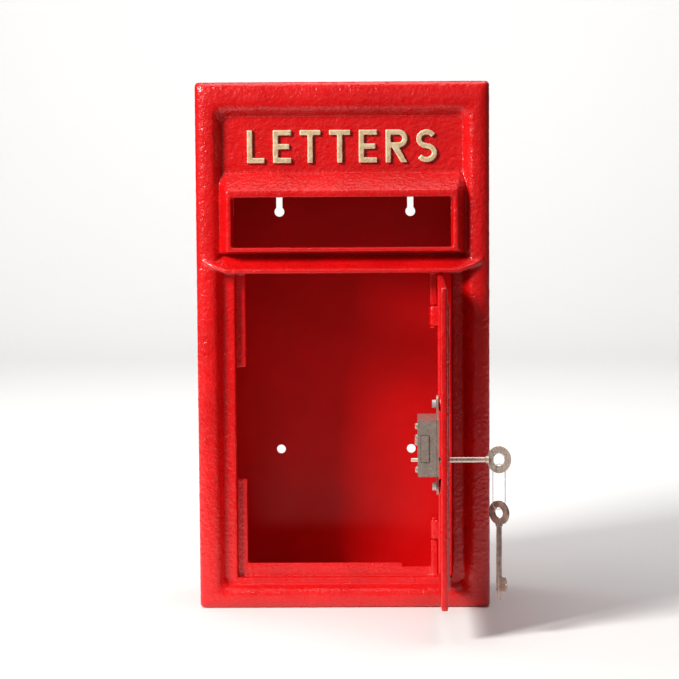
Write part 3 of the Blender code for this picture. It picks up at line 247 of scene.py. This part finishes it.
class Surface:
    """A node material put together round one Principled shader."""

    def __init__(self, name, **plain):
        self.material = bpy.data.materials.new(name)
        self.material.use_nodes = True
        self.tree = self.material.node_tree
        self.shader = self.tree.nodes["Principled BSDF"]
        self.place = self.add("ShaderNodeTexCoord").outputs["Object"]
        for socket, value in plain.items():
            self.shader.inputs[socket.replace("_", " ")].default_value = value

    def add(self, kind, **settings):
        """A node with its own settings."""
        node = self.tree.nodes.new(kind)
        for key, value in settings.items():
            setattr(node, key, value)
        return node

    def link(self, source, target):
        """Join two sockets."""
        self.tree.links.new(source, target)

    def noise(self, size, detail=3.0, stretch=(1, 1, 1), twist=0.0):
        """Cloudy noise whose lumps are about size across."""
        scale = self.add("ShaderNodeMapping")
        scale.inputs["Scale"].default_value = [part / size for part in stretch]
        self.link(self.place, scale.inputs["Vector"])
        noise = self.add("ShaderNodeTexNoise")
        noise.inputs["Scale"].default_value = 1.0
        noise.inputs["Detail"].default_value = detail
        noise.inputs["Distortion"].default_value = twist
        self.link(scale.outputs["Vector"], noise.inputs["Vector"])
        return noise.outputs["Fac"]

    def band(self, value, low, high, start=0.0, end=1.0):
        """Map low..high of a value to start..end, held at both ends."""
        node = self.add("ShaderNodeMapRange")
        self.link(value, node.inputs["Value"])
        ends = {"From Min": low, "From Max": high, "To Min": start, "To Max": end}
        for socket, number in ends.items():
            node.inputs[socket].default_value = number
        return node.outputs["Result"]

    def mix(self, share, first, second):
        """A colour between two; each is three numbers or a socket."""
        node = self.add("ShaderNodeMix", data_type="RGBA")
        self.link(share, node.inputs[0])
        for index, colour in ((6, first), (7, second)):
            if hasattr(colour, "links"):
                self.link(colour, node.inputs[index])
            else:
                node.inputs[index].default_value = (*colour, 1)
        return node.outputs[2]

    def total(self, first, second):
        """Two values added."""
        node = self.add("ShaderNodeMath", operation="ADD")
        self.link(first, node.inputs[0])
        self.link(second, node.inputs[1])
        return node.outputs[0]

    def edges(self, low, high):
        """1 on convex edges, 0 on flats and in hollows."""
        return self.band(self.add("ShaderNodeNewGeometry").outputs["Pointiness"], low, high)

    def axis(self, name):
        """One coordinate of the place."""
        split = self.add("ShaderNodeSeparateXYZ")
        self.link(self.place, split.inputs[0])
        return split.outputs[name]

    def colour(self, socket):
        """Use a socket as the base colour."""
        self.link(socket, self.shader.inputs["Base Color"])

    def rough(self, socket):
        """Use a socket as the roughness."""
        self.link(socket, self.shader.inputs["Roughness"])

    def bump(self, *layers):
        """Stack height layers, each a (socket, depth in metres) pair."""
        normal = None
        for height, depth in layers:
            node = self.add("ShaderNodeBump")
            node.inputs["Distance"].default_value = depth
            node.inputs["Strength"].default_value = 1.0
            self.link(height, node.inputs["Height"])
            if normal is not None:
                self.link(normal, node.inputs["Normal"])
            normal = node.outputs["Normal"]
        self.link(normal, self.shader.inputs["Normal"])
        self.link(normal, self.shader.inputs["Coat Normal"])


def make_enamel():
    """Glossy red enamel, brushed thickly over a sand-cast skin, with painted shade in its hollows."""
    surface = Surface("red_enamel", Coat_Weight=0.5, Coat_Roughness=0.08, Specular_IOR_Level=0.35)
    drift = surface.band(surface.noise(0.045), 0.35, 0.65)
    shade = surface.mix(drift, (0.60, 0.002, 0.003), (0.70, 0.004, 0.005))
    # Hollows and creases (low pointiness) turn a darker red: painted shade in the grooves.
    surface.colour(surface.mix(surface.edges(0.42, 0.49), (0.34, 0.001, 0.002), shade))
    surface.rough(surface.band(surface.noise(0.012), 0.3, 0.7, 0.26, 0.42))
    surface.bump((surface.noise(0.0038, 2.0), 0.0009), (surface.noise(0.0016, 2.0), 0.0003))
    return surface.material


def make_sheet_red():
    """Smooth red enamel on folded sheet, with a faint orange peel."""
    surface = Surface("red_sheet", Coat_Weight=0.1, Coat_Roughness=0.2, Specular_IOR_Level=0.2)
    drift = surface.band(surface.noise(0.08), 0.35, 0.65)
    surface.colour(surface.mix(drift, (0.60, 0.002, 0.003), (0.68, 0.004, 0.005)))
    surface.rough(surface.band(surface.noise(0.03), 0.3, 0.7, 0.30, 0.42))
    surface.bump((surface.noise(0.0035, 1.0), 0.00005), (surface.noise(0.0012, 1.0), 0.00002))
    return surface.material


def make_gold_paint():
    """Gold paint laid by hand on the raised letters, thin at their foot, with a cream painted highlight
    on their convex edges.
    """
    surface = Surface("gold_paint", Metallic=0.15, Coat_Weight=0.2, Coat_Roughness=0.2)
    drift = surface.band(surface.noise(0.004), 0.35, 0.65)
    gold = surface.mix(drift, (0.56, 0.40, 0.20), (0.78, 0.62, 0.38))
    # Convex edges of the letters turn cream: a painted highlight where the edges catch the light.
    gold = surface.mix(surface.edges(0.5, 0.56), gold, (1.0, 0.86, 0.62))
    wander = surface.band(surface.noise(0.005), 0.0, 1.0, -PAINT_WANDER, PAINT_WANDER)
    height = surface.total(surface.axis("Y"), wander)
    foot = surface.band(height, PANEL_Y - PAINT_END, PANEL_Y - PAINT_START)
    # The gold, with its painted edge highlight, gives way to the red enamel at the letters' foot.
    surface.colour(surface.mix(foot, gold, (0.58, 0.01, 0.008)))
    surface.rough(surface.band(surface.noise(0.006), 0.3, 0.7, 0.3, 0.5))
    surface.bump((surface.noise(0.0022, 2.0), 0.00025), (surface.noise(0.0008, 2.0), 0.00006))
    return surface.material


def make_plated(name, dark, light, low, high):
    """Plated or plain metal with fine drawn scratches and a few dull spots."""
    surface = Surface(name, Metallic=0.6)
    surface.colour(surface.mix(surface.band(surface.noise(0.006), 0.3, 0.7), dark, light))
    scratch = surface.noise(0.0004, 3.0, (1, 1, 0.2))
    spots = surface.noise(0.004, 3.0)
    drawn = surface.band(scratch, 0.3, 0.7, low, high)
    dull = surface.band(spots, 0.55, 0.75, 0.0, 0.12)
    surface.rough(surface.total(drawn, dull))
    surface.bump((scratch, 0.000003), (surface.noise(0.005), 0.00004))
    return surface.material


def make_backdrop_white():
    """Matt white paper."""
    surface = Surface("studio_white", Roughness=0.9)
    surface.colour(surface.mix(surface.noise(0.5), (0.90, 0.895, 0.885), (0.92, 0.915, 0.905)))
    return surface.material


# ---- CAD nodes that stay ----

def finish_node(node, material, bevel):
    """Keep a CAD node's shape, break its edges and give it a material."""
    item = NODES[node]
    dress(item, material)
    item.data.set_sharp_from_angle(angle=SHARP_ANGLE)
    edge = item.modifiers.new("edge", "BEVEL")
    edge.width = bevel
    edge.segments = EDGE_SEGMENTS
    edge.limit_method = "ANGLE"
    edge.angle_limit = SHARP_ANGLE
    edge.harden_normals = True


def finish_nodes(materials):
    """Materials and broken edges for every node that isn't replaced."""
    for node in NODES:
        if node in ("front_casting", "door_casting"):
            continue
        kind, bevel = "zinc", ZINC_EDGE
        if node == "back_box":
            kind, bevel = "sheet", SHEET_EDGE
        elif node.startswith("lever_spring") or node == "key_ring":
            kind, bevel = "wire", 0.0
        elif node.startswith("lever_") and node != "lever_post":
            kind, bevel = "brass", BRASS_EDGE
        elif node in ("key", "spare_key"):
            kind, bevel = node, KEY_EDGE
        elif node.startswith(("lock_c", "lock_b", "bolt_", "lever_post", "case_")):
            kind, bevel = "nickel", NICKEL_EDGE
        elif node.startswith("hinge_pin"):
            kind, bevel = "enamel", PIN_EDGE
        if bevel:
            finish_node(node, materials[kind], bevel)
        else:
            dress(NODES[node], materials[kind])


# ---- studio ----

def add_area(name, place, aim, width, height, power, colour=(1, 1, 1)):
    """A soft box that faces aim."""
    data = bpy.data.lights.new(name, "AREA")
    data.shape = "RECTANGLE"
    data.size = width
    data.size_y = height
    data.energy = power
    data.color = colour
    lamp = add_object(name, data)
    lamp.location = place
    lamp.rotation_euler = (Vector(aim) - Vector(place)).to_track_quat("-Z", "Y").to_euler()


def build_backdrop(material):
    """A white floor that sweeps up behind the object."""
    floor_z = CAD_LOW.z
    profile = [(FLOOR_FRONT, floor_z), (FLOOR_BACK, floor_z)]
    for step in range(1, SWEEP_STEPS + 1):
        angle = math.pi / 2 * step / SWEEP_STEPS
        rise = SWEEP_RADIUS * (1 - math.cos(angle))
        profile.append((FLOOR_BACK + SWEEP_RADIUS * math.sin(angle), floor_z + rise))
    sides = (-FLOOR_HALF_WIDTH, FLOOR_HALF_WIDTH)
    vertices = [(x, y, z) for y, z in profile for x in sides]
    faces = [(2 * i, 2 * i + 1, 2 * i + 3, 2 * i + 2) for i in range(len(profile) - 1)]
    mesh = bpy.data.meshes.new("backdrop")
    mesh.from_pydata(vertices, [], faces)
    sweep = add_object("backdrop", mesh)
    dress(sweep, material)


def build_camera():
    """The camera in front of the mailbox, a little above its middle."""
    data = bpy.data.cameras.new("camera")
    data.lens = CAMERA_LENS
    data.sensor_width = SENSOR_WIDTH
    camera = add_object("camera", data)
    ahead = Vector((math.sin(CAMERA_YAW), math.cos(CAMERA_YAW), 0))
    side = Vector((math.cos(CAMERA_YAW), -math.sin(CAMERA_YAW), 0))
    above = Vector((0, 0, 1))
    forward = ahead * math.cos(CAMERA_PITCH) - above * math.sin(CAMERA_PITCH)
    upward = ahead * math.sin(CAMERA_PITCH) + above * math.cos(CAMERA_PITCH)
    right = side * math.cos(CAMERA_ROLL) - upward * math.sin(CAMERA_ROLL)
    top = side * math.sin(CAMERA_ROLL) + upward * math.cos(CAMERA_ROLL)
    place = Vector((CAMERA_X, CREST_Y - CAMERA_FROM_CREST, FRONT_LOW.z + CAMERA_HEIGHT))
    turn = Matrix((right, top, -forward)).transposed().to_4x4()
    camera.matrix_world = Matrix.Translation(place) @ turn
    bpy.context.scene.camera = camera


def build_lights():
    """A key from the upper left, a faint front box, a top box and a glow on the sweep."""
    aim = (0, CREST_Y, 0)
    add_area("key_light", KEY_PLACE, aim, KEY_SIZE, KEY_SIZE, KEY_POWER, KEY_COLOUR)
    add_area("front_light", FRONT_PLACE, aim, *FRONT_SIZE, FRONT_POWER)
    add_area("top_light", TOP_PLACE, (TOP_PLACE[0], TOP_PLACE[1], 0), *TOP_SIZE, TOP_POWER)
    add_area("sweep_light", SWEEP_PLACE, SWEEP_AIM, *SWEEP_SIZE, SWEEP_POWER)


def build_world():
    """Dim light all round, and a pale backdrop beyond the floor's edges."""
    world = bpy.data.worlds.new("studio")
    world.use_nodes = True
    tree = world.node_tree
    dim = tree.nodes["Background"]
    dim.inputs["Color"].default_value = (1.0, 0.99, 0.98, 1.0)
    dim.inputs["Strength"].default_value = DIM_STRENGTH
    pale = tree.nodes.new("ShaderNodeBackground")
    pale.inputs["Color"].default_value = (0.94, 0.93, 0.92, 1.0)
    choice = tree.nodes.new("ShaderNodeMixShader")
    path = tree.nodes.new("ShaderNodeLightPath")
    tree.links.new(path.outputs["Is Camera Ray"], choice.inputs[0])
    tree.links.new(dim.outputs[0], choice.inputs[1])
    tree.links.new(pale.outputs[0], choice.inputs[2])
    tree.links.new(choice.outputs[0], tree.nodes["World Output"].inputs["Surface"])
    bpy.context.scene.world = world
    bpy.context.scene.view_settings.view_transform = "Standard"


def build():
    """Materials, pieces, studio."""
    materials = {
        "enamel": make_enamel(),
        "sheet": make_sheet_red(),
        "gold": make_gold_paint(),
        "nickel": make_plated("nickel_plate", (0.48, 0.37, 0.31), (0.62, 0.50, 0.43), 0.22, 0.32),
        "key": make_plated("key_nickel", (0.82, 0.63, 0.52), (0.95, 0.78, 0.66), 0.22, 0.32),
        "spare_key": make_plated("spare_key_nickel", (0.22, 0.16, 0.13), (0.44, 0.34, 0.28), 0.14, 0.24),
        "zinc": make_plated("zinc_steel", (0.52, 0.52, 0.53), (0.72, 0.72, 0.74), 0.28, 0.5),
        "brass": make_plated("lever_brass", (0.60, 0.40, 0.15), (0.80, 0.60, 0.28), 0.25, 0.45),
        "wire": make_plated("spring_steel", (0.45, 0.44, 0.43), (0.70, 0.69, 0.68), 0.15, 0.3),
    }
    cast_piece("cast_front", "front_casting", "cabinet", materials["enamel"])
    cast_piece("cast_door", "door_casting", "door", materials["enamel"])
    letter_pieces(materials["gold"])
    finish_nodes(materials)
    build_backdrop(make_backdrop_white())
    build_camera()
    build_lights()
    build_world()


build()
